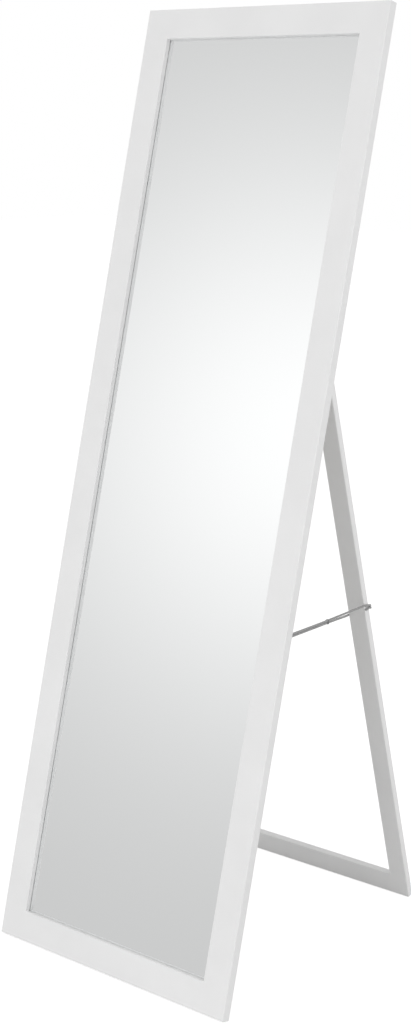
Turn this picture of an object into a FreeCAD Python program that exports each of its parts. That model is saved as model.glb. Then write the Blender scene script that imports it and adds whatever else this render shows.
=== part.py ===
import FreeCAD, Part
import math
import os
from FreeCAD import Vector

# Full-length floor mirror on a folding easel stand.
#
# The frame and the stand are drawn upright in frame axes: X across, Y back from the frame's front
# face, Z up from its bottom edge. The stand is drawn folded flat, opened about its hinge pins, and
# then everything leans back until both feet meet the floor. Millimetres, +Z up, front towards -Y.

# ---- mirror frame -------------------------------------------------------------------------
frame_width = 500.0
frame_height = 1600.0
face_width = 50.0            # flat face of the moulding
frame_thickness = 17.0
front_round = 2.0            # outer front edge
lip_round = 1.5              # edge beside the glass
back_round = 1.5             # outer back edge, which stands on the floor
rebate_width = 8.0
rebate_depth = 8.0

# ---- what lies in the rebate ---------------------------------------------------------------
glass_thickness = 3.0
board_thickness = 3.0
glass_play = 1.5             # free edge between glass and rebate wall
board_play = 1.0

# ---- V-nails across the back of each mitre ----------------------------------------------------
nail_leg = 8.0
nail_gauge = 0.6
nail_depth = 10.0
nail_spots = (14.0, 28.0)    # from the outer corner, measured along a side

# ---- points that hold the board ------------------------------------------------------------
point_width = 8.0
point_length = 18.0
point_gauge = 0.6
point_bite = 6.0             # length driven into the rebate wall
points_per_stile = 5
points_per_rail = 2

# ---- hinge rail across the back -----------------------------------------------------------
rail_length = 456.0
rail_height = 50.0
rail_thickness = 16.0
hinge_height = 1112.0        # hinge pins above the frame's bottom edge
hinge_gap = 1.0              # from the pin's level to the wood above and below it

# ---- folding stand ------------------------------------------------------------------------
stand_width = 396.0
stand_reach = 1107.0         # from the hinge pins down to the foot
stand_board = 36.0           # width of its stiles
stand_bar = 40.0             # height of its bars
stand_thickness = 12.0
stand_corner = 2.5
stand_round = 1.5
stand_opening = 29.4         # degrees between stand and frame with the cord tight

# ---- mortise and tenon joints in the stand's corners ---------------------------------------------
tenon_thickness = 4.0
tenon_width = 24.0
tenon_length = 26.0
tenon_play = 0.1             # all round in its mortise
tenon_end_play = 1.0

# ---- butt hinges ---------------------------------------------------------------------------
hinge_length = 40.0
hinge_offset = 75.0          # hinge centre from the middle of the mirror
leaf_width = 20.0
leaf_gauge = 1.2
leaf_corner = 2.0
barrel_radius = 2.5
knuckle_count = 5
knuckle_gap = 0.3
leaf_relief = 0.4            # leaf edge clear of the other leaf's knuckles
roll_end = 100.0             # degrees, where the rolled strip stops short of its leaf
pin_play = 0.05
leaf_screw_pitch = 22.0
leaf_screw_row = 11.5        # from the pin's level
leaf_screw_stagger = 2.0     # one screw of a leaf this much nearer the pin, one further

# ---- wood screws: radii of head and shank, and overall length ----------------------------------
leaf_screw = {"head": 2.5, "shank": 1.3, "length": 10.5}
rail_screw = {"head": 3.6, "shank": 1.75, "length": 26.0}
rail_screw_inset = 10.0      # from the rail's end
screw_play = 0.05
recess_width = 0.8
recess_share = 0.62          # cross recess as a share of the head

# ---- screw eye in the back of the frame's right stile ------------------------------------------
eye_wire = 0.8               # radius of its wire
eye_ring = 3.9               # radius of the ring's centre line
eye_flats = 8                # the ring's wire is drawn with flats
eye_neck = 1.0               # ring clear of the wood
eye_screw_length = 10.0
eye_from_edge = 21.0         # from the frame's outer edge
eye_height = 603.0

# ---- stay cord: doubled from the eye to a knot, then one strand each side of the stand's stile ---
cord_radius = 1.45
cord_play = 0.15
knot_bend = 30.0             # the strands part inside the knot
knot_play = 0.05
knot_radius = 4.2
knot_length = 11.0
stay_route = [               # where the tight cord lies, on the standing mirror
    (199.8, 133.3, 576.3),
    (199.8, 128.7, 577.0),
    (198.1, 29.1, 572.0),
    (228.8, -124.6, 584.1),
    (228.6, -125.0, 579.3),
    (198.0, 28.9, 568.9),
    (160.2, 135.6, 551.3),
    (160.2, 140.2, 551.9),
]
loop_route = [               # the same cord going on round the back of the stile
    (199.8, 133.9, 576.2),
    (199.8, 145.6, 574.4),
    (160.2, 151.2, 553.5),
    (160.2, 140.8, 552.0),
]

# ---- worked out from the values above -------------------------------------------------------
half_width = frame_width / 2
lip_depth = frame_thickness - rebate_depth
rebate_line = face_width - rebate_width
rail_back = frame_thickness + rail_thickness
pin_depth = rail_back + barrel_radius
rail_foot = hinge_height + hinge_gap
stand_half = stand_width / 2
stand_front = rail_back - stand_thickness
stand_top = hinge_height - hinge_gap
stand_foot = hinge_height - stand_reach
stand_inner = stand_half - stand_board
knuckle_pitch = hinge_length / knuckle_count
bore_radius = barrel_radius - leaf_gauge
pin_radius = bore_radius - pin_play
stile_bend = stand_round + 2 * cord_play + cord_radius
eye_bend = eye_wire + cord_play + cord_radius
stay_bends = [stile_bend, knot_bend, eye_bend, eye_bend, knot_bend, stile_bend]
loop_bends = [stile_bend, stile_bend]
leaf_start = barrel_radius + leaf_relief
margin = 5.0                 # how far cutting blocks stand clear of what they cut
X, Y, Z = Vector(1, 0, 0), Vector(0, 1, 0), Vector(0, 0, 1)


# ---- small tools ------------------------------------------------------------------------------
def rounded_outline(corners):
    """Closed wire through (point, radius) corners; a radius of 0 leaves a corner sharp."""
    arcs, entries, exits = [], [], []
    for i, (point, radius) in enumerate(corners):
        before = (corners[i - 1][0] - point).normalize()
        after = (corners[(i + 1) % len(corners)][0] - point).normalize()
        half_angle = before.getAngle(after) / 2
        reach = radius / math.tan(half_angle)
        entries.append(point + before * reach)
        exits.append(point + after * reach)
        inward = (before + after).normalize()
        middle = point + inward * (radius / math.sin(half_angle) - radius)
        arcs.append(Part.Arc(entries[i], middle, exits[i]).toShape() if radius else None)
    edges = []
    for i, arc in enumerate(arcs):
        if arc:
            edges.append(arc)
        edges.append(Part.makeLine(exits[i], entries[(i + 1) % len(corners)]))
    return Part.Wire(edges)


def polygon_prism(points, sweep):
    """Solid from a flat polygon pushed along a vector."""
    return Part.Face(Part.makePolygon(points + points[:1])).extrude(sweep)


def block(x0, x1, y0, y1, z0, z1):
    """Box between two corners."""
    return Part.makeBox(x1 - x0, y1 - y0, z1 - z0, Vector(x0, y0, z0))


def edges_at_depth(shape, depth):
    """Edges that lie wholly in the plane at this depth."""
    return [e for e in shape.Edges if all(abs(v.Y - depth) < 1e-6 for v in e.Vertexes)]


def cut_all(shape, cutters):
    for cutter in cutters:
        shape = shape.cut(cutter)
    return shape


def spaced(count, length):
    """Middles of equal stretches along a length."""
    return [length * (i + 0.5) / count for i in range(count)]


# ---- frame: four mitred mouldings ---------------------------------------------------------------
def moulding(start, along, inward, length):
    """One side of the frame, its outer front edge running from start, mitred at both ends."""
    section = [
        (0.0, 0.0, front_round),
        (face_width, 0.0, lip_round),
        (face_width, lip_depth, 0.0),
        (rebate_line, lip_depth, 0.0),
        (rebate_line, frame_thickness, 0.0),
        (0.0, frame_thickness, back_round),
    ]
    outline = rounded_outline([(start + inward * u + Y * v, r) for u, v, r in section])
    blank = Part.Face(outline).extrude(along * length)
    deep = face_width + margin
    front = start - Y * margin
    mitred = polygon_prism([
        front,
        front + along * length,
        front + along * (length - deep) + inward * deep,
        front + along * deep + inward * deep,
    ], Y * (frame_thickness + 2 * margin))
    return blank.common(mitred)


frame_sides = {
    "frame_left_stile": (Vector(-half_width, 0, 0), Z, X, frame_height),
    "frame_right_stile": (Vector(half_width, 0, 0), Z, -X, frame_height),
    "frame_bottom_rail": (Vector(-half_width, 0, 0), X, Z, frame_width),
    "frame_top_rail": (Vector(-half_width, 0, frame_height), X, -Z, frame_width),
}


# ---- V-nails, pressed into the back across each mitre --------------------------------------------
def v_nail(corner, along, up, spot):
    steps = [(0, 0), (nail_leg, 0), (nail_leg, nail_gauge), (nail_gauge, nail_gauge),
             (nail_gauge, nail_leg), (0, nail_leg)]
    start = corner + Y * (frame_thickness - nail_depth)
    outline = [start + along * (spot + a) + up * (spot + b) for a, b in steps]
    return polygon_prism(outline, Y * nail_depth)


def v_nails():
    nails = []
    for along in (X, -X):
        for up, foot in ((Z, 0.0), (-Z, frame_height)):
            corner = Vector(-half_width * along.x, 0, foot)
            nails += [v_nail(corner, along, up, spot) for spot in nail_spots]
    return nails


# ---- glass, backing board and the points that hold them -------------------------------------------
def pane(play, front, thickness):
    """Flat sheet in the rebate, with this much play at its edges."""
    edge = rebate_line + play
    return block(edge - half_width, half_width - edge, front, front + thickness,
                 edge, frame_height - edge)


def backing_point(start, along, inward, place):
    """Thin steel dart: its tip is in the rebate's wall, its tail lies on the board."""
    tip = rebate_line - point_bite
    shoulder = rebate_line - point_bite / 4
    tail = tip + point_length
    half = point_width / 2
    outline = [(0, tip), (half, shoulder), (half, tail), (-half, tail), (-half, shoulder)]
    depth = lip_depth + glass_thickness + board_thickness
    points = [start + along * (place + a) + inward * u + Y * depth for a, u in outline]
    return polygon_prism(points, Y * point_gauge)


def backing_points():
    darts = []
    for name, (start, along, inward, length) in frame_sides.items():
        count = points_per_stile if "stile" in name else points_per_rail
        darts += [backing_point(start, along, inward, place) for place in spaced(count, length)]
    return darts


# ---- countersunk wood screws, driven from the back towards the front --------------------------------
def screw(place, size):
    """Head cone, shank and point, with the head's flat at place and a cross recess in it."""
    head, shank = size["head"], size["shank"]
    cone, point = head - shank, 2 * shank
    straight = size["length"] - cone - point
    body = Part.makeCone(head, shank, cone, place, -Y)
    body = body.fuse(Part.makeCylinder(shank, straight, place - Y * cone, -Y))
    body = body.fuse(Part.makeCone(shank, shank / 8, point, place - Y * (cone + straight), -Y))
    reach, depth, half = head * recess_share, cone * recess_share, recess_width / 2
    recess = block(-reach, reach, -depth, margin, -half, half)
    recess = recess.fuse(block(-half, half, -depth, margin, -reach, reach))
    recess.translate(place)
    return body.removeSplitter().cut(recess.removeSplitter())


def screw_hole(place, size):
    """Countersink and a flat-bottomed pilot hole."""
    shank = size["shank"] + screw_play
    cone = size["head"] - size["shank"]
    sink = Part.makeCone(size["head"] + screw_play, shank, cone, place, -Y)
    drill = Part.makeCylinder(shank, size["length"] - cone + screw_play, place - Y * cone, -Y)
    return sink.fuse(drill)


def screws(places, size):
    return Part.makeCompound([screw(place, size) for place in places])


def screw_holes(places, size):
    return [screw_hole(place, size) for place in places]


def rail_screw_places():
    """One at each end of the hinge rail, which is glued to the frame as well."""
    side = rail_length / 2 - rail_screw_inset
    return [Vector(x, rail_back, rail_foot + rail_height / 2) for x in (-side, side)]


def hinge_screw_places(direction):
    """Two places in each leaf of a row: direction is 1 above the pins and -1 below them."""
    places = []
    for centre in (-hinge_offset, hinge_offset):
        for side in (-1, 1):
            level = hinge_height + direction * (leaf_screw_row + side * leaf_screw_stagger)
            across = centre + side * leaf_screw_pitch / 2
            places.append(Vector(across, rail_back + leaf_gauge, level))
    return places


# ---- hinge rail -------------------------------------------------------------------------------------
def hinge_rail():
    half = rail_length / 2
    rail = block(-half, half, frame_thickness, rail_back, rail_foot, rail_foot + rail_height)
    return rail.makeFillet(back_round, edges_at_depth(rail, rail_back))


# ---- stand: two stiles and two bars, rounded over as one frame and then parted ----------------------
def stand_blank():
    outer = block(-stand_half, stand_half, stand_front, rail_back, stand_foot, stand_top)
    corners = [e for e in outer.Edges if abs(e.Length - stand_thickness) < 1e-6]
    outer = outer.makeFillet(stand_corner, corners)
    opening = block(-stand_inner, stand_inner, stand_front - margin, rail_back + margin,
                    stand_foot + stand_bar, stand_top - stand_bar)
    blank = outer.cut(opening)
    rims = edges_at_depth(blank, stand_front) + edges_at_depth(blank, rail_back)
    return blank.makeFillet(stand_round, rims)


def tenons(play=0.0, end_play=0.0):
    """The two tongues on each bar; play makes the cutters for their mortises."""
    middle = stand_front + stand_thickness / 2
    thick, wide = tenon_thickness / 2 + play, tenon_width / 2 + play
    reach = tenon_length + end_play
    tongues = {}
    for bar, level in (("stand_top_bar", stand_top - stand_bar / 2),
                       ("stand_bottom_bar", stand_foot + stand_bar / 2)):
        tongues[bar] = [block(x, x + reach, middle - thick, middle + thick, level - wide, level + wide)
                        for x in (-stand_inner - reach, stand_inner)]
    return tongues


def stand_boards():
    blank = stand_blank()
    middle = (stand_foot + stand_top) / 2
    low, high = stand_foot - margin, stand_top + margin
    front, back = stand_front - margin, rail_back + margin
    wide = stand_half + margin
    boards = {}
    mortises = [cutter for pair in tenons(tenon_play, tenon_end_play).values() for cutter in pair]
    for name, inner, outer in (("stand_left_stile", -stand_inner, -wide),
                               ("stand_right_stile", stand_inner, wide)):
        stile = blank.common(block(min(inner, outer), max(inner, outer), front, back, low, high))
        boards[name] = cut_all(stile, mortises)
    for name, tongues in tenons().items():
        levels = (middle, high) if name == "stand_top_bar" else (low, middle)
        bar = blank.common(block(-stand_inner, stand_inner, front, back, *levels))
        boards[name] = bar.multiFuse(tongues)
    return boards


# ---- butt hinges: strips rolled round the pin in interleaved knuckles -------------------------------
def rolled_knuckle(x0, x1, direction):
    """One knuckle with the neck that joins it to its leaf; the roll stops short, as a seam."""
    def at(radius, degrees, rise=0.0):
        turn = math.radians(degrees)
        return Vector(x0, pin_depth + radius * math.cos(turn),
                      hinge_height + direction * (radius * math.sin(turn) + rise))

    def roll(radius):
        half_way = (180.0 + 360.0 + roll_end) / 2
        return Part.Arc(at(radius, 180.0), at(radius, half_way), at(radius, roll_end)).toShape()

    outline = [
        Part.makeLine(at(barrel_radius, 180.0, leaf_start), at(barrel_radius, 180.0)),
        roll(barrel_radius),
        Part.makeLine(at(barrel_radius, roll_end), at(bore_radius, roll_end)),
        roll(bore_radius),
        Part.makeLine(at(bore_radius, 180.0), at(bore_radius, 180.0, leaf_start)),
        Part.makeLine(at(bore_radius, 180.0, leaf_start), at(barrel_radius, 180.0, leaf_start)),
    ]
    return Part.Face(Part.Wire(Part.__sortEdges__(outline))).extrude(X * (x1 - x0))


def hinge_leaf(offset, direction, first_knuckle):
    """Leaf of the hinge at this offset, going up (1) or down (-1) from the pin."""
    left = offset - hinge_length / 2
    far = hinge_height + direction * leaf_width
    levels = sorted((hinge_height + direction * leaf_start, far))
    leaf = block(left, left + hinge_length, rail_back, rail_back + leaf_gauge, *levels)
    corners = [e for e in leaf.Edges if all(abs(v.Z - far) < 1e-6 for v in e.Vertexes)
               and abs(e.Length - leaf_gauge) < 1e-6]
    leaf = leaf.makeFillet(leaf_corner, corners)
    for knuckle in range(first_knuckle, knuckle_count, 2):
        x0 = left + knuckle * knuckle_pitch + knuckle_gap / 2
        leaf = leaf.fuse(rolled_knuckle(x0, x0 + knuckle_pitch - knuckle_gap, direction))
    return leaf.removeSplitter()


def hinge_pin(offset):
    start = Vector(offset - hinge_length / 2, pin_depth, hinge_height)
    return Part.makeCylinder(pin_radius, hinge_length, start, X)


# ---- screw eye that anchors the stay cord ------------------------------------------------------------
def screw_eye():
    """Ring of flatted wire lying level, with a neck and a pointed screw into the stile."""
    point = Vector(half_width - eye_from_edge, frame_thickness - eye_screw_length, eye_height)
    taper = 2 * eye_wire
    straight = eye_screw_length + eye_neck + eye_wire - taper
    tip = Part.makeCone(eye_wire / 4, eye_wire, taper, point, Y)
    shank = Part.makeCylinder(eye_wire, straight, point + Y * taper, Y)
    centre = point + Y * (taper + straight + eye_ring)
    turns = [2 * math.pi * (i + 0.5) / eye_flats for i in range(eye_flats)]
    corner = eye_wire / math.cos(math.pi / eye_flats)
    wire = [centre + X * (eye_ring + corner * math.cos(t)) + Z * corner * math.sin(t) for t in turns]
    ring = Part.Face(Part.makePolygon(wire + wire[:1])).revolve(centre, Z, 360)
    return ring.multiFuse([shank, tip]).removeSplitter()


def screw_eye_hole():
    point = Vector(half_width - eye_from_edge, frame_thickness - eye_screw_length, eye_height)
    return Part.makeCylinder(eye_wire + screw_play, eye_screw_length + margin,
                             point - Y * screw_play, Y)


# ---- stay cord ------------------------------------------------------------------------------------
def tube(points, bends, radius):
    """Round tube along straight runs joined by tangent arcs, one radius for each inner point."""
    route = [Vector(*point) for point in points]
    edges = []
    start = route[0]
    for before, point, after, bend in zip(route, route[1:], route[2:], bends):
        back, ahead = (before - point).normalize(), (after - point).normalize()
        half_angle = back.getAngle(ahead) / 2
        reach = bend / math.tan(half_angle)
        middle = point + (back + ahead).normalize() * (bend / math.sin(half_angle) - bend)
        arc_start, arc_end = point + back * reach, point + ahead * reach
        if start.distanceToPoint(arc_start) > 1e-3:
            edges.append(Part.makeLine(start, arc_start))
        edges.append(Part.Arc(arc_start, middle, arc_end).toShape())
        start = arc_end
    edges.append(Part.makeLine(start, route[-1]))
    path = Part.Wire(edges)
    section = Part.Wire(Part.makeCircle(radius, route[0], route[1] - route[0]))
    return path.makePipeShell([section], True, False), path.Length


def stay_cord_knot():
    """Tight knot round both strands where they part, drawn as a barrel."""
    upper, lower = Vector(*stay_route[2]), Vector(*stay_route[5])
    to_eye = (Vector(*stay_route[3]) - upper).normalize()
    start = (upper + lower) / 2 - to_eye * knot_length / 2
    barrel = Part.makeCylinder(knot_radius, knot_length, start, to_eye)
    passage, _ = tube(stay_route, stay_bends, cord_radius + knot_play)
    return barrel.cut(passage)


# ---- where everything stands ---------------------------------------------------------------------
# Both feet are rounded edges. The floor line touches the heel of the frame and the toe of the stand.
opening = FreeCAD.Placement(Vector(0, 0, 0), FreeCAD.Rotation(X, stand_opening),
                            Vector(0, pin_depth, hinge_height))
heel = Vector(0, frame_thickness - back_round, back_round)
toe = opening.multVec(Vector(0, stand_front + stand_round, stand_foot + stand_round))
rear = opening.multVec(Vector(0, rail_back - stand_round, stand_foot + stand_round))
step = toe - heel
lean = math.degrees(math.atan2(step.z, step.y) - math.asin((stand_round - back_round) / step.Length))
leaning = FreeCAD.Placement(Vector(0, 0, 0), FreeCAD.Rotation(X, -lean))
front_edge = leaning.multVec(Vector(0, front_round, front_round)).y - front_round
rear_edge = leaning.multVec(rear).y + stand_round
drop = leaning.multVec(heel).z - back_round
on_floor = FreeCAD.Placement(Vector(0, -(front_edge + rear_edge) / 2, -drop),
                             FreeCAD.Rotation(X, -lean))


def placed(shape, placement):
    moved = shape.copy()
    moved.Placement = placement.multiply(moved.Placement)
    return moved


def build_mirror():
    """Everything that leans with the frame, still upright."""
    nodes = {}
    darts, nails = backing_points(), v_nails()
    rail_holes = screw_holes(rail_screw_places(), rail_screw)
    sockets = darts + nails + rail_holes + [screw_eye_hole()]
    for name, side in frame_sides.items():
        nodes[name] = cut_all(moulding(*side), sockets)
    nodes["corner_v_nails"] = Part.makeCompound(nails)
    nodes["mirror_glass"] = pane(glass_play, lip_depth, glass_thickness)
    nodes["backing_board"] = pane(board_play, lip_depth + glass_thickness, board_thickness)
    nodes["backing_points"] = Part.makeCompound(darts)
    leaf_places = hinge_screw_places(1)
    leaf_holes = screw_holes(leaf_places, leaf_screw)
    nodes["hinge_rail"] = cut_all(hinge_rail(), rail_holes + leaf_holes)
    nodes["hinge_rail_screws"] = screws(rail_screw_places(), rail_screw)
    for side, offset in (("left", -hinge_offset), ("right", hinge_offset)):
        nodes[f"{side}_hinge_frame_leaf"] = cut_all(hinge_leaf(offset, 1, 0), leaf_holes)
        nodes[f"{side}_hinge_pin"] = hinge_pin(offset)
    nodes["frame_leaf_screws"] = screws(leaf_places, leaf_screw)
    nodes["cord_screw_eye"] = screw_eye()
    return nodes


def build_stand():
    """Everything that folds with the stand, still closed against the frame."""
    nodes = {}
    leaf_places = hinge_screw_places(-1)
    leaf_holes = screw_holes(leaf_places, leaf_screw)
    for name, board in stand_boards().items():
        nodes[name] = cut_all(board, leaf_holes)
    for side, offset in (("left", -hinge_offset), ("right", hinge_offset)):
        nodes[f"{side}_hinge_stand_leaf"] = cut_all(hinge_leaf(offset, -1, 1), leaf_holes)
    nodes["stand_leaf_screws"] = screws(leaf_places, leaf_screw)
    return nodes


pieces = {name: placed(shape, on_floor) for name, shape in build_mirror().items()}
for name, shape in build_stand().items():
    pieces[name] = placed(placed(shape, opening), on_floor)
pieces["stay_cord"], stay_length = tube(stay_route, stay_bends, cord_radius)
pieces["stay_cord_knot"] = stay_cord_knot()
pieces["stay_cord_loop"], loop_length = tube(loop_route, loop_bends, cord_radius)

os.makedirs("parts", exist_ok=True)
for name, shape in pieces.items():
    shape.exportStep(f"parts/{name}.step")

pin = on_floor.multVec(Vector(0, pin_depth, hinge_height))
print(f"{len(pieces)} pieces, frame leans {lean:.3f} degrees")
print(f"hinge pins at y {pin.y:.3f}, z {pin.z:.3f}")
section = math.pi * cord_radius ** 2
for name, length, bends in (("stay_cord", stay_length, stay_bends),
                            ("stay_cord_loop", loop_length, loop_bends)):
    share = pieces[name].Volume / (section * length)
    print(f"{name}: {length:.1f} mm, bend radii {bends}, volume / (section x length) {share:.4f}")
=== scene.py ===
# %% [markdown]
# # Full-length mirror on a folding easel stand
#
# A narrow white frame holds a tall mirror. A thin white stand is hinged to a rail across its back, and
# a doubled cord, tied round one stile of the stand, stops the stand from opening any further.
#
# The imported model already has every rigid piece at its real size. This file gives those pieces their
# finishes, and it models what CAD leaves plain: the twist of the cord, its knot, and the silvering,
# which lies behind the surface of the glass.

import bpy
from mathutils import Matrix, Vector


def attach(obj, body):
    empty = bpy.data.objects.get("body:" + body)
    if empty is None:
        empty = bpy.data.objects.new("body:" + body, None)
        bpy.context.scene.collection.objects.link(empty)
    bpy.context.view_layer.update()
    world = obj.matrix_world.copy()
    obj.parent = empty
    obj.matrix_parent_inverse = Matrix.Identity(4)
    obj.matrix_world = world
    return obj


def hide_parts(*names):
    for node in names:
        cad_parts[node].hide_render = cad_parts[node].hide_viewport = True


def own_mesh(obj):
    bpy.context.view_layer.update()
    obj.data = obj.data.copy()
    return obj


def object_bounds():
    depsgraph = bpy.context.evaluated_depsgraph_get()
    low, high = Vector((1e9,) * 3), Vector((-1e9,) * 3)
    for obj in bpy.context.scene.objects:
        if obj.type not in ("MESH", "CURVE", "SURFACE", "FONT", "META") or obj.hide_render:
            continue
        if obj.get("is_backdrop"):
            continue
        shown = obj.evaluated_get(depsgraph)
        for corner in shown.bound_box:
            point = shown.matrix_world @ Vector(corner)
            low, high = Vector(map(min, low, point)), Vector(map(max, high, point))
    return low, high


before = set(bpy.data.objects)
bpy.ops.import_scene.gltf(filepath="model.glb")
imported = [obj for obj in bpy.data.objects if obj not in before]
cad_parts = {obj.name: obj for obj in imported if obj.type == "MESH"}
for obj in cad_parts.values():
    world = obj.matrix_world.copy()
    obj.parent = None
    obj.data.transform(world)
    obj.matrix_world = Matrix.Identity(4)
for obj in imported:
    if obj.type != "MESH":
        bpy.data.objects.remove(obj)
cad_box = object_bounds()
print(f"{len(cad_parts)} pieces from CAD")

# %% [markdown]
# ## Tools for the rest of the file
#
# Blender works in metres and in linear colour. Real sizes are written in millimetres here, and colours
# as the sRGB hex values that a paint card would give, so a factor and a small function translate them.

# %% Units and colours
import math

import bmesh
import bpy
from mathutils import Vector

MM = 0.001


def linear(hex_colour):
    """sRGB hex, such as "F2F1EE", to the linear colour that nodes expect."""
    channels = [int(hex_colour[i:i + 2], 16) / 255 for i in (0, 2, 4)]
    rgb = [c / 12.92 if c <= 0.04045 else ((c + 0.055) / 1.055) ** 2.4 for c in channels]
    return (*rgb, 1.0)


print(f"1 mm is {MM} m, and mid grey is {linear('808080')[0]:.3f} in linear colour")

# %% [markdown]
# ## Nodes, materials and objects
#
# A material is a tree of nodes. They can be placed and wired by hand in the shader editor, but a file is
# easier to read, to compare and to change. Three small helpers keep it short: one adds a node with its
# settings and its links, one starts a material, and one puts something new into the scene.

# %% Three helpers
scene = bpy.context.scene


def add_node(tree, kind, links=None, **settings):
    """Adds one node: links maps an input to a socket or a value, settings are the node's own."""
    node = tree.nodes.new(kind)
    for name, value in settings.items():
        setattr(node, name, value)
    for name, value in (links or {}).items():
        if isinstance(value, bpy.types.NodeSocket):
            tree.links.new(value, node.inputs[name])
        else:
            node.inputs[name].default_value = value
    return node


def new_material(name):
    """A material, its tree, and its Principled shader, which is already wired to the output."""
    material = bpy.data.materials.new(name)
    material.use_nodes = True
    tree = material.node_tree
    return material, tree, tree.nodes["Principled BSDF"]


def new_object(name, data):
    """Puts a mesh, a lamp or a camera into the scene, at the origin."""
    made = bpy.data.objects.new(name, data)
    scene.collection.objects.link(made)
    return made


# %% [markdown]
# ## Camera
#
# The mirror is seen from its right and a little from above, from far enough away that its long edges
# converge only slightly. The place, the aim and the lens are what that view needs, and the lens is set
# for the long side of a tall picture.

# %% Camera
camera_place = Vector((1962.0, -2331.4, 1398.1)) * MM
camera_aim = Vector((-39.7, -0.5, 725.2)) * MM
camera_data = bpy.data.cameras.new("camera")
camera_data.sensor_fit = "VERTICAL"
camera_data.sensor_height = 36.0       # of a full-frame camera turned upright, in millimetres
camera_data.lens = 65.5
camera = new_object("camera", camera_data)
camera.location = camera_place
camera.rotation_euler = (camera_aim - camera_place).to_track_quat("-Z", "Y").to_euler()
scene.camera = camera
print(f"camera {(camera_aim - camera_place).length:.2f} m from what it looks at")

# %% [markdown]
# ## Stay cord
#
# The cord is one length of soft twisted cord. It is doubled through a screw eye in the back of the
# frame, knotted to itself, and tied round the right stile of the stand. It could be simulated as it
# hangs, but the open stand pulls it tight and straight, so a short list of points places it exactly.
#
# The three routes are the doubled cord, the turn that goes on from it round the back of the stile, and
# the short end that is left over from tying it.

# %% Where the cord lies, in millimetres
stay_route = [
    (200.0, 133.3, 576.3), (200.0, 128.7, 577.0), (199.7, 112.7, 576.2), (198.1, 29.1, 572.2),
    (201.4, 12.5, 573.1), (225.5, -108.0, 582.4), (227.65, -118.8, 583.7), (228.8, -125.0, 584.5),
    (228.6, -125.4, 578.8), (227.45, -119.2, 578.7), (225.3, -108.4, 578.7), (201.3, 12.3, 569.4),
    (198.0, 28.9, 568.7), (164.6, 122.6, 553.5), (159.9, 135.6, 551.3), (159.9, 140.2, 551.9),
]
loop_route = [
    (200.0, 133.9, 576.2), (200.3, 139.5, 575.8), (200.9, 146.2, 574.9), (195.4, 147.1, 571.8),
    (180.0, 149.1, 563.6), (165.1, 151.0, 555.8), (160.3, 151.2, 553.5), (159.9, 146.8, 552.8),
    (159.9, 140.8, 552.0),
]
tail_route = [
    (197.3, 147.3, 569.0), (201.4, 147.3, 570.9), (200.8, 141.5, 571.2), (200.2, 136.5, 569.5),
    (200.1, 133.0, 568.9),
]
print(f"routes of {len(stay_route)}, {len(loop_route)} and {len(tail_route)} points")

# %% [markdown]
# ## From a route to a line
#
# Straight pieces between the points would show as kinks. A NURBS curve that follows them gives soft
# bends instead. It cuts corners, so the points stand close together at the eye and at the stile. The
# curve's own points crowd there too, so they are spaced out evenly before anything is wound round them.

# %% Smooth, evenly spaced lines
LINE_STEP = 0.6 * MM


def nurbs_line(name, route):
    """Points along the smooth NURBS line that a route in millimetres controls."""
    curve = bpy.data.curves.new(name, "CURVE")
    curve.dimensions = "3D"
    curve.resolution_u = 24
    spline = curve.splines.new("NURBS")
    spline.points.add(len(route) - 1)
    for point, place in zip(spline.points, route):
        point.co = (*(Vector(place) * MM), 1.0)
    spline.order_u = 3
    spline.use_endpoint_u = True
    holder = bpy.data.objects.new(name, curve)
    mesh = bpy.data.meshes.new_from_object(holder)
    line = [v.co.copy() for v in mesh.vertices]
    bpy.data.objects.remove(holder)
    bpy.data.curves.remove(curve)
    bpy.data.meshes.remove(mesh)
    return line


def length_of(line):
    """How long a line of points is, in metres."""
    return sum((b - a).length for a, b in zip(line, line[1:]))


def spaced_out(line, step):
    """The same line as points about one step apart, with its two ends kept."""
    lengths = [(b - a).length for a, b in zip(line, line[1:])]
    count = max(2, round(sum(lengths) / step))
    wanted = [sum(lengths) * i / count for i in range(count + 1)]
    points, walked, index = [], 0.0, 0
    for distance in wanted:
        while index < len(lengths) - 1 and walked + lengths[index] < distance:
            walked += lengths[index]
            index += 1
        share = (distance - walked) / lengths[index] if lengths[index] else 0.0
        points.append(line[index].lerp(line[index + 1], min(share, 1.0)))
    return points


stay_line = spaced_out(nurbs_line("stay_cord_line", stay_route), LINE_STEP)
loop_line = spaced_out(nurbs_line("stay_cord_loop_line", loop_route), LINE_STEP)
tail_line = spaced_out(nurbs_line("stay_cord_tail_line", tail_route), LINE_STEP)
for label, line in (("stay cord", stay_line), ("loop", loop_line), ("tail", tail_line)):
    print(f"{label}: {length_of(line) / MM:.1f} mm")

# %% [markdown]
# ## The twist
#
# Twisted cord is three yarns laid round each other. A picture of a twist on a smooth tube would do from
# far away, but its outline would stay straight, and a bumpy outline is what tells cord from wire. So
# each yarn is a thin tube of its own, whose line winds round the cord's line. To wind evenly it needs
# directions across the line that don't spin by themselves, so each step turns the last direction only
# as much as the line itself turns.

# %% Directions across a line, and a tube along it
def across(line):
    """For each point, two directions across the line that follow it without spinning."""
    side = (line[1] - line[0]).orthogonal().normalized()
    pairs = []
    for i in range(len(line)):
        ahead = (line[min(i + 1, len(line) - 1)] - line[max(i - 1, 0)]).normalized()
        side = (side - ahead * side.dot(ahead)).normalized()
        pairs.append((side.copy(), ahead.cross(side)))
    return pairs


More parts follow.
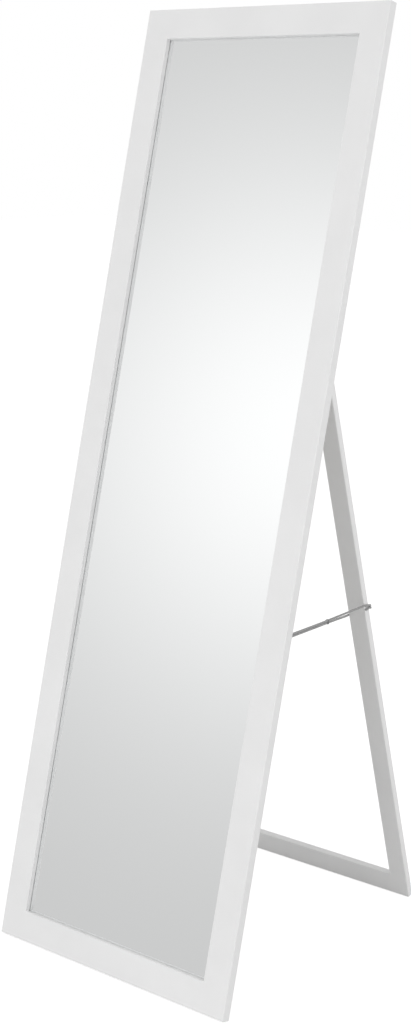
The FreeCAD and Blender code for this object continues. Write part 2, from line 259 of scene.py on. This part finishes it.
def tube(name, line, radius):
    """A tube with eight sides along points, as a mesh, from a curve with a bevel."""
    curve = bpy.data.curves.new(name, "CURVE")
    curve.dimensions = "3D"
    curve.bevel_depth = radius
    curve.bevel_resolution = 2
    curve.use_fill_caps = True
    spline = curve.splines.new("POLY")
    spline.points.add(len(line) - 1)
    for point, place in zip(spline.points, line):
        point.co = (*place, 1.0)
    holder = bpy.data.objects.new(name, curve)
    mesh = bpy.data.meshes.new_from_object(holder)
    bpy.data.objects.remove(holder)
    bpy.data.curves.remove(curve)
    return mesh


print(f"the stay cord's line has directions at {len(across(stay_line))} points")

# %% [markdown]
# ## Winding the yarns
#
# Every yarn keeps the same distance from the cord's line and goes once round it in a set length. The
# yarns could be laid by eye, but three equal tubes that touch each other fit a round outline in only
# one way, so the cord's thickness gives their radius and their distance.

# %% Three yarns round a line
YARNS = 3
TURN = 8.5 / 2.9               # how far a yarn goes in one turn, in diameters of the cord
OVER_YARNS = 3.9 * MM          # over the yarns' outer edges; the hollows between them make it count as 2.9


def twisted_cord(name, line, diameter):
    """The cord's three yarns as one mesh object."""
    yarn_radius = diameter / 2 / (1 + 2 / math.sqrt(3))    # three that touch each other just fit
    winding_radius = diameter / 2 - yarn_radius
    pairs = across(line)
    step = (line[1] - line[0]).length
    cord = bmesh.new()
    for yarn in range(YARNS):
        path = []
        for i, (point, (side, up)) in enumerate(zip(line, pairs)):
            turn = 2 * math.pi * (i * step / (TURN * diameter) + yarn / YARNS)
            path.append(point + (side * math.cos(turn) + up * math.sin(turn)) * winding_radius)
        mesh = tube(name + "_yarn", path, yarn_radius)
        cord.from_mesh(mesh)
        bpy.data.meshes.remove(mesh)
    mesh = bpy.data.meshes.new(name)
    cord.to_mesh(mesh)
    cord.free()
    mesh.shade_smooth()
    return new_object(name, mesh)


stay_cord = twisted_cord("stay_cord_twisted", stay_line, OVER_YARNS)
stay_loop = twisted_cord("stay_loop_twisted", loop_line, OVER_YARNS)
stay_tail = twisted_cord("stay_loop_tail", tail_line, OVER_YARNS)
for piece in (stay_cord, stay_loop, stay_tail):
    print(f"{piece.name}: {len(piece.data.polygons)} faces")

# %% [markdown]
# ## Knot
#
# Where its two strands part, the cord is knotted to itself, so that the loop on the stile can't run
# open. A knot could be sculpted, but it is only the same cord going round, so it is wound here the same
# way: two slanting turns that cross each other, the second lying over the first, with both ends tucked
# in between the strands. Pulled tight, the cord in a knot is thinner than the free cord.

# %% A knot wound round both strands
KNOT_CORD = 1.9 * MM
KNOT_STEP = 0.5 * MM
knot_middle = Vector((198.03, 29.01, 570.43))
toward_stile = Vector((-0.195, 0.9782, -0.0716)).normalized()
strand_to_strand = Vector((0.0342, 0.0798, 0.9962)).normalized()
out_of_both = toward_stile.cross(strand_to_strand)
half_long, half_tall, half_deep = 4.6, 3.9, 2.8    # of the line that the cord follows, in mm
over_first = 0.28              # how much further out the second turn lies where it crosses the first
corners = 8                    # control points in each turn

knot_route = [knot_middle - toward_stile * half_long]
for i in range(2 * corners + 3):
    angle = 2 * math.pi * (i - 2) / corners
    second = i > corners + 1
    # along the strands and back in each turn, and the other way round in the second
    slant = 1.0 - 2.0 * math.cos(angle) if second else 2.0 * math.cos(angle) - 1.0
    lift = 1.0 + (over_first * max(0.0, math.cos(angle)) if second else 0.0)
    knot_route.append(knot_middle + toward_stile * slant
                      + strand_to_strand * half_tall * math.sin(angle) * lift
                      + out_of_both * half_deep * math.cos(angle) * lift)
knot_route.append(knot_middle + toward_stile * half_long)
knot_line = spaced_out(nurbs_line("knot_line", knot_route), KNOT_STEP)
knot = twisted_cord("stay_knot_wound", knot_line, KNOT_CORD)
print(f"knot: {length_of(knot_line) / MM:.1f} mm of cord in it, {len(knot.data.polygons)} faces")

# %% [markdown]
# ## Silvered pane
#
# A mirror's picture forms on the silver at the back of its glass, not on the front surface, so a thin
# dark line stays between the lip of the frame and its own reflection. A slab of glass over a silver
# sheet would show it, but two surfaces so close together render slowly and noisily. Here the pane is
# one metal surface instead, set back a little. The silver behind 3 mm of glass looks 2 mm deep, and
# less than half of that is used, which keeps the line as fine as it looks from across a room.

# %% The pane, with its face set back behind the surface of the glass
SILVER_DEPTH = 0.8 * MM
pane_shape = bmesh.new()
pane_shape.from_mesh(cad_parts["mirror_glass"].data)
bmesh.ops.remove_doubles(pane_shape, verts=pane_shape.verts, dist=0.001 * MM)
front = max(pane_shape.faces, key=lambda face: (-face.normal.y, face.calc_area()))
facing = front.normal.copy()
front_corners = {v for face in pane_shape.faces if face.normal.dot(facing) > 0.999 for v in face.verts}
bmesh.ops.translate(pane_shape, verts=list(front_corners), vec=-facing * SILVER_DEPTH)
pane_mesh = bpy.data.meshes.new("silvered_pane")
pane_shape.to_mesh(pane_mesh)
pane_shape.free()
pane = new_object("silvered_pane", pane_mesh)
print(f"pane: {len(pane_mesh.polygons)} faces, facing {tuple(round(n, 3) for n in facing)}")

# %% [markdown]
# ## White lacquer
#
# The wood is sprayed with white satin lacquer, which fills its pores. Up close it still shows two
# things: long shallow grain lines that sink under the paint as it dries, and the faint dimples that
# spraying leaves. Both are far too shallow to model, so they are bump, and the same dimples make the
# sheen a little uneven. The grain follows each board's length, so a board's finish is given the
# direction that it runs in and how far it leans.

# %% Satin lacquer on a board
LACQUER_FULL = "F2F2F2"
LACQUER_THIN = "EFEFEF"
FRAME_LEAN = math.radians(14.344)      # backwards, away from upright
STAND_OPENS = math.radians(29.4)       # how far the stand swings from the frame
STAND_LEAN = FRAME_LEAN - STAND_OPENS
# the scale of a noise is its patches per metre, written here as patches per millimetre / MM
GRAIN_ACROSS = 0.33 / MM       # grain lines 3 mm apart
GRAIN_ALONG = 0.008 / MM       # and 125 mm long
DIMPLES = 0.5 / MM             # dimples 2 mm across
COATS = 0.009 / MM             # the coats lie thicker and thinner over a hand's breadth, 110 mm


def satin_lacquer(name, lean, along):
    """Sprayed white lacquer: pale neutral white, with an even sheen that blurs what it reflects."""
    material, tree, surface = new_material(name)
    place = add_node(tree, "ShaderNodeTexCoord").outputs["Object"]
    stretch = (GRAIN_ACROSS, GRAIN_ACROSS, GRAIN_ALONG)
    if along == "across":
        stretch = (GRAIN_ALONG, GRAIN_ACROSS, GRAIN_ACROSS)
    straight = add_node(tree, "ShaderNodeMapping", {"Vector": place, "Rotation": (lean, 0.0, 0.0)})
    on_board = add_node(tree, "ShaderNodeMapping",
                        {"Vector": straight.outputs["Vector"], "Scale": stretch})
    grain = add_node(tree, "ShaderNodeTexNoise",
                     {"Vector": on_board.outputs["Vector"], "Scale": 1.0, "Detail": 3.0, "Roughness": 0.6})
    dimples = add_node(tree, "ShaderNodeTexNoise", {"Vector": place, "Scale": DIMPLES, "Detail": 1.0})
    coats = add_node(tree, "ShaderNodeTexNoise", {"Vector": place, "Scale": COATS, "Detail": 2.0})
    tint = add_node(tree, "ShaderNodeValToRGB", {"Fac": coats.outputs["Fac"]})
    tint.color_ramp.elements[0].position = 0.35
    tint.color_ramp.elements[0].color = linear(LACQUER_THIN)
    tint.color_ramp.elements[1].position = 0.65
    tint.color_ramp.elements[1].color = linear(LACQUER_FULL)
    sheen = add_node(tree, "ShaderNodeMapRange",
                     {"Value": dimples.outputs["Fac"], "To Min": 0.34, "To Max": 0.42})
    sunk = add_node(tree, "ShaderNodeBump",
                    {"Height": grain.outputs["Fac"], "Strength": 0.25, "Distance": 0.04 * MM})
    sprayed = add_node(tree, "ShaderNodeBump", {"Height": dimples.outputs["Fac"], "Strength": 0.2,
                                                "Distance": 0.03 * MM, "Normal": sunk.outputs["Normal"]})
    tree.links.new(tint.outputs["Color"], surface.inputs["Base Color"])
    tree.links.new(sheen.outputs["Result"], surface.inputs["Roughness"])
    tree.links.new(sprayed.outputs["Normal"], surface.inputs["Normal"])
    surface.inputs["IOR"].default_value = 1.48
    return material


frame_upright = satin_lacquer("lacquer_frame_uprights", FRAME_LEAN, "upright")
frame_across = satin_lacquer("lacquer_frame_rails", FRAME_LEAN, "across")
stand_upright = satin_lacquer("lacquer_stand_uprights", STAND_LEAN, "upright")
stand_across = satin_lacquer("lacquer_stand_bars", STAND_LEAN, "across")
print(f"lacquer in {len((frame_upright, frame_across, stand_upright, stand_across))} grain directions")

# %% [markdown]
# ## Silver behind glass
#
# Silvered float glass reflects a little less red than green or blue, because its light passes through
# the glass twice. It is metal to the renderer and nearly smooth. Wiping leaves a haze too faint to see
# as such, but it keeps the reflection from being perfect, so it is a change in roughness and no more.

# %% Silvered glass
HAZE = 0.025 / MM              # soft patches 40 mm across


def silvered_glass():
    """Sharp, nearly colourless reflection; the faintest haze of cleaning shows only up close."""
    material, tree, surface = new_material("silvered_float_glass")
    place = add_node(tree, "ShaderNodeTexCoord").outputs["Object"]
    haze = add_node(tree, "ShaderNodeTexNoise", {"Vector": place, "Scale": HAZE, "Detail": 3.0})
    blur = add_node(tree, "ShaderNodeMapRange", {"Value": haze.outputs["Fac"], "From Min": 0.4,
                                                 "From Max": 0.8, "To Min": 0.012, "To Max": 0.03})
    tree.links.new(blur.outputs["Result"], surface.inputs["Roughness"])
    surface.inputs["Base Color"].default_value = linear("FAFBFB")
    surface.inputs["Metallic"].default_value = 1.0
    return material


silver = silvered_glass()
print(f"mirror: {silver.name}")

# %% [markdown]
# ## Faced hardboard
#
# The back of the glass is covered by hardboard with a pale grey face. Its pressed fibres show through
# as fine darker and lighter flecks. A tiled picture of fibres would repeat over a board this tall, so
# one noise, which never repeats, draws the flecks as both colour and height.

# %% Pale faced hardboard
FLECKS = 0.4 / MM              # 2.5 mm across; fibres are 1 to 3 mm long, and these show at arm's length


def faced_hardboard():
    """Pressed fibre under a thin pale face: matt, with fibre flecks a little darker and lighter."""
    material, tree, surface = new_material("faced_hardboard")
    place = add_node(tree, "ShaderNodeTexCoord").outputs["Object"]
    flecks = add_node(tree, "ShaderNodeTexNoise",
                      {"Vector": place, "Scale": FLECKS, "Detail": 4.0, "Roughness": 0.65})
    tone = add_node(tree, "ShaderNodeValToRGB", {"Fac": flecks.outputs["Fac"]})
    tone.color_ramp.elements[0].position = 0.3
    tone.color_ramp.elements[0].color = linear("CFCDC9")
    tone.color_ramp.elements[1].position = 0.7
    tone.color_ramp.elements[1].color = linear("DEDDDA")
    pressed = add_node(tree, "ShaderNodeBump",
                       {"Height": flecks.outputs["Fac"], "Strength": 0.3, "Distance": 0.1 * MM})
    tree.links.new(tone.outputs["Color"], surface.inputs["Base Color"])
    tree.links.new(pressed.outputs["Normal"], surface.inputs["Normal"])
    surface.inputs["Roughness"].default_value = 0.75
    return material


hardboard = faced_hardboard()
print(f"backing board: {hardboard.name}")

# %% [markdown]
# ## Zinc
#
# The hinges, screws, nails, points and the screw eye are small pieces of steel with a thin zinc plating.
# A plain metal of one colour would look like chrome. What marks zinc is soft clouding, a few
# millimetres across, in both tone and sheen, so one noise drives both.

# %% Zinc-plated steel
CLOUDS = 0.25 / MM             # clouding 4 mm across


def zinc_plate():
    """Bright bluish-grey metal, dulled by handling, with the soft clouding that plating leaves."""
    material, tree, surface = new_material("zinc_plated_steel")
    place = add_node(tree, "ShaderNodeTexCoord").outputs["Object"]
    clouds = add_node(tree, "ShaderNodeTexNoise", {"Vector": place, "Scale": CLOUDS, "Detail": 3.0})
    tone = add_node(tree, "ShaderNodeValToRGB", {"Fac": clouds.outputs["Fac"]})
    tone.color_ramp.elements[0].position = 0.3
    tone.color_ramp.elements[0].color = linear("B4B7BA")
    tone.color_ramp.elements[1].position = 0.7
    tone.color_ramp.elements[1].color = linear("C9CBCC")
    dulled = add_node(tree, "ShaderNodeMapRange",
                      {"Value": clouds.outputs["Fac"], "To Min": 0.26, "To Max": 0.42})
    tree.links.new(tone.outputs["Color"], surface.inputs["Base Color"])
    tree.links.new(dulled.outputs["Result"], surface.inputs["Roughness"])
    surface.inputs["Metallic"].default_value = 1.0
    return material


zinc = zinc_plate()
print(f"hinges, screws and nails: {zinc.name}")

# %% [markdown]
# ## Grey yarn
#
# The cord is spun from dyed grey yarn. Hair particles could stand for its loose fibres, but the cord is
# thin and seen from far away. Its twist is modelled, so the finish only adds what fibres do to each
# yarn: a fine unevenness of tone and height, and a soft sheen where they stand off.

# %% Spun grey yarn
YARN_PALE = "B4B4B4"
YARN_DARK = "A2A2A2"
FIBRES = 2.0 / MM              # 0.5 mm across; a fibre is far finer, but it would not show


def grey_yarn():
    """Matt spun yarn: mid grey, mottled by its own fibres, with the soft edge that fibres give."""
    material, tree, surface = new_material("grey_spun_cord")
    place = add_node(tree, "ShaderNodeTexCoord").outputs["Object"]
    fibres = add_node(tree, "ShaderNodeTexNoise", {"Vector": place, "Scale": FIBRES, "Detail": 2.0})
    tone = add_node(tree, "ShaderNodeValToRGB", {"Fac": fibres.outputs["Fac"]})
    tone.color_ramp.elements[0].position = 0.3
    tone.color_ramp.elements[0].color = linear(YARN_DARK)
    tone.color_ramp.elements[1].position = 0.7
    tone.color_ramp.elements[1].color = linear(YARN_PALE)
    fuzz = add_node(tree, "ShaderNodeBump",
                    {"Height": fibres.outputs["Fac"], "Strength": 0.4, "Distance": 0.2 * MM})
    tree.links.new(tone.outputs["Color"], surface.inputs["Base Color"])
    tree.links.new(fuzz.outputs["Normal"], surface.inputs["Normal"])
    surface.inputs["Roughness"].default_value = 0.9
    surface.inputs["Sheen Weight"].default_value = 0.15
    return material


yarn = grey_yarn()
print(f"cord: {yarn.name}")

# %% [markdown]
# ## Finishes on the pieces
#
# A piece from CAD keeps its mesh and only has its material slots filled. That could be done piece by
# piece, but one table from finish to pieces shows at a glance what is made of what, and the last line
# names any piece that was forgotten. The new pieces get theirs as their first material.

# %% Every piece gets its finish
finishes = {
    frame_upright: ["frame_left_stile", "frame_right_stile"],
    frame_across: ["frame_top_rail", "frame_bottom_rail", "hinge_rail"],
    stand_upright: ["stand_left_stile", "stand_right_stile"],
    stand_across: ["stand_top_bar", "stand_bottom_bar"],
    hardboard: ["backing_board"],
    zinc: ["corner_v_nails", "backing_points", "hinge_rail_screws", "frame_leaf_screws",
           "stand_leaf_screws", "left_hinge_frame_leaf", "right_hinge_frame_leaf",
           "left_hinge_stand_leaf", "right_hinge_stand_leaf", "left_hinge_pin", "right_hinge_pin",
           "cord_screw_eye"],
    silver: ["mirror_glass"],
    yarn: ["stay_cord", "stay_cord_knot", "stay_cord_loop"],
}
for finish, names in finishes.items():
    for name in names:
        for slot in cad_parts[name].material_slots:
            slot.material = finish
for piece in (stay_cord, stay_loop, stay_tail, knot):
    piece.data.materials.append(yarn)
pane.data.materials.append(silver)
unfinished = set(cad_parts) - {name for names in finishes.values() for name in names}
print(f"{len(finishes)} finishes, nodes without one: {sorted(unfinished)}")

# %% [markdown]
# ## What moves with what
#
# The stay cord and its knot hang from the frame, and the loop and its cut end are tied to the stand. The
# cut end refines none.

# %% Riding and replacing
for piece, body, slot, node in (
    (stay_cord, "mirror", "cord", "stay_cord"),
    (knot, "mirror", "cord", "stay_cord_knot"),
    (pane, "mirror", "mirror", "mirror_glass"),
    (stay_loop, "stand", "cord", "stay_cord_loop"),
    (stay_tail, "stand", "cord", None),
):
    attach(piece, body)
    if node:
        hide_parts(node)
    print(f"{piece.name} moves with the {body}")

# %% [markdown]

# %% [markdown]
# ## Floor
#
# The floor is one sheet of seamless white paper. Seen straight, it has to be white right up to the
# backdrop and still take the object's shadow, so part of its white is a glow of its own and the rest
# is lit. To the light that bounces off it on the way to the object, it is plain pale paper. The mirror
# and the metal look through it, because its far edge would otherwise show as a line in them.

# %% Seamless paper floor
FLOOR_HALF = 15.0              # metres from its middle to an edge
PAPER_GLOW = 0.72              # the part of its white that is its own glow

floor_mesh = bpy.data.meshes.new("floor")
floor_shape = bmesh.new()
bmesh.ops.create_grid(floor_shape, x_segments=1, y_segments=1, size=FLOOR_HALF)
floor_shape.to_mesh(floor_mesh)
floor_shape.free()
floor = new_object("floor", floor_mesh)
floor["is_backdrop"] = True

paper, tree, _ = new_material("seamless_paper")
tree.nodes.clear()
ray = add_node(tree, "ShaderNodeLightPath")
plain = add_node(tree, "ShaderNodeBsdfDiffuse", {"Color": linear("E8E8E8")})
glow = add_node(tree, "ShaderNodeEmission", {"Strength": PAPER_GLOW})
lit_part = add_node(tree, "ShaderNodeBsdfDiffuse", {"Color": linear("C8C8C8")})
seen = add_node(tree, "ShaderNodeAddShader")
tree.links.new(lit_part.outputs["BSDF"], seen.inputs[0])
tree.links.new(glow.outputs["Emission"], seen.inputs[1])
to_camera = add_node(tree, "ShaderNodeMixShader", {"Fac": ray.outputs["Is Camera Ray"]})
tree.links.new(plain.outputs["BSDF"], to_camera.inputs[1])
tree.links.new(seen.outputs["Shader"], to_camera.inputs[2])
unseen = add_node(tree, "ShaderNodeBsdfTransparent")
to_mirror = add_node(tree, "ShaderNodeMixShader", {"Fac": ray.outputs["Is Glossy Ray"]})
tree.links.new(to_camera.outputs["Shader"], to_mirror.inputs[1])
tree.links.new(unseen.outputs["BSDF"], to_mirror.inputs[2])
output = add_node(tree, "ShaderNodeOutputMaterial")
tree.links.new(to_mirror.outputs["Shader"], output.inputs["Surface"])
floor_mesh.materials.append(paper)
print(f"floor: {2 * FLOOR_HALF:.0f} m square")

# %% [markdown]
# ## Studio
#
# A polished mirror shows whatever stands in front of it, so the studio needs one soft bright patch for
# it to show: a lit wall in front of the frame and to its left, fading out evenly on all sides. A real
# wall would need a lamp of its own and would light the frame unevenly, so the patch is drawn in the
# background. A direction's closeness to its middle, raised exponentially, draws it without an edge.
#
# The softboxes don't show in the mirror, but their light does reach the wood beside the glass by way
# of it. A ray that left the wood and then met the mirror sees a brighter studio in their place.

# %% The studio around it
SKY = 0.603                    # how bright the studio is away from the lit patch
PATCH = 0.445                  # how much brighter the middle of the lit patch is
PATCH_WIDTH = math.radians(9.46)       # from its middle to where a third of it is left
PATCH_SIDE = math.radians(-37.55)      # to the left of straight ahead
PATCH_HEIGHT = math.radians(13.0)      # above the horizon
BOXES_BY_MIRROR = 0.42         # what the softboxes add to the wood by way of the mirror
toward_patch = (math.sin(PATCH_SIDE) * math.cos(PATCH_HEIGHT),
                -math.cos(PATCH_SIDE) * math.cos(PATCH_HEIGHT),
                math.sin(PATCH_HEIGHT))
sharpness = 2 / PATCH_WIDTH ** 2

studio = bpy.data.worlds.new("studio")
scene.world = studio
studio.use_nodes = True
tree = studio.node_tree
tree.nodes.clear()
direction = add_node(tree, "ShaderNodeTexCoord").outputs["Generated"]
closeness = add_node(tree, "ShaderNodeVectorMath", {0: direction, 1: toward_patch},
                     operation="DOT_PRODUCT")
fall = add_node(tree, "ShaderNodeMath", {0: closeness.outputs["Value"], 1: sharpness, 2: -sharpness},
                operation="MULTIPLY_ADD")
patch = add_node(tree, "ShaderNodeMath", {0: fall.outputs["Value"]}, operation="EXPONENT")
level = add_node(tree, "ShaderNodeMath", {0: patch.outputs["Value"], 1: PATCH, 2: SKY},
                 operation="MULTIPLY_ADD")
ray = add_node(tree, "ShaderNodeLightPath")
by_mirror = add_node(tree, "ShaderNodeMath",
                     {0: ray.outputs["Is Glossy Ray"], 1: ray.outputs["Diffuse Depth"]},
                     operation="MINIMUM")
brighter = add_node(tree, "ShaderNodeMath",
                    {0: by_mirror.outputs["Value"], 1: BOXES_BY_MIRROR, 2: level.outputs["Value"]},
                    operation="MULTIPLY_ADD")
lit = add_node(tree, "ShaderNodeBackground",
               {"Color": linear("FFFFFF"), "Strength": brighter.outputs["Value"]})
white = add_node(tree, "ShaderNodeBackground", {"Color": linear("FFFFFF"), "Strength": 1.0})
to_camera = add_node(tree, "ShaderNodeMixShader", {"Fac": ray.outputs["Is Camera Ray"]})
tree.links.new(lit.outputs["Background"], to_camera.inputs[1])
tree.links.new(white.outputs["Background"], to_camera.inputs[2])
output = add_node(tree, "ShaderNodeOutputWorld")
tree.links.new(to_camera.outputs["Shader"], output.inputs["Surface"])
print(f"lit patch toward {tuple(round(c, 2) for c in toward_patch)}")

# %% [markdown]
# ## Softboxes
#
# The frame's face has to be a little brighter than its side, and the stand, which faces down, darker
# than both. Four large soft lamps set those tones one by one: one low in front for the face, one on
# the right for the sides, one overhead for the top edges, and a weak one behind for the back.

# %% Softboxes
MIDDLE = (0.0, 0.1, 0.75)      # of the mirror and its stand


def softbox(name, place, aim, size, watts):
    """A square area lamp that lights the object but doesn't show in the mirror."""
    lamp_data = bpy.data.lights.new(name, "AREA")
    lamp_data.size = size
    lamp_data.energy = watts
    lamp = new_object(name, lamp_data)
    lamp.location = place
    lamp.rotation_euler = (Vector(aim) - Vector(place)).to_track_quat("-Z", "Y").to_euler()
    lamp.visible_glossy = False
    return lamp


lamps = [
    softbox("low front", (0.0, -3.5, 1.0), MIDDLE, 2.0, 28.5),
    softbox("right", (4.0, 0.3, 1.2), MIDDLE, 2.4, 29.5),
    softbox("top", (0.0, -0.5, 4.0), (0.0, 0.0, 0.75), 3.0, 17.0),
    softbox("right back", (3.5, 2.5, 1.5), MIDDLE, 2.5, 5.0),
]
print(f"{len(lamps)} softboxes, {sum(lamp.data.energy for lamp in lamps):.0f} W together")

# %% [markdown]
# ## Plain colours
#
# Blender's usual view transform softens bright tones as film does, and it would turn white paper pale
# grey. The Standard transform shows each tone as it is.

# %% Standard view transform
scene.view_settings.view_transform = "Standard"
print(f"view transform: {scene.view_settings.view_transform}")

# %% [markdown]
# ## Cord meshes of their own
#
# When the stand folds flat, the cord goes slack and is gathered up beside the screw eye, between the
# stand and the back of the frame. A cord can't be bent like that by a joint, and nothing here bends
# it: the cord and its knot only get copies of their meshes, which are left as they are.

# %% The cord and its knot get meshes of their own
for piece in (stay_cord, knot):
    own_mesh(piece)
    print(f"{piece.name} flattens as the stand folds")

# %% [markdown]
#
# Finer pieces must not make the object any bigger than its CAD model. The box round everything was
# measured straight after loading and is measured again here, and both sizes are printed. Two boxes
# are quicker to read than the pieces one by one.

# %% Sizes, and the end
visual_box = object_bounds()
model_size = [round(b - a, 4) for a, b in zip(*visual_box)]
packed_size = [round(b - a, 4) for a, b in zip(*cad_box)]
print(f"model {model_size} m, packed {packed_size} m")
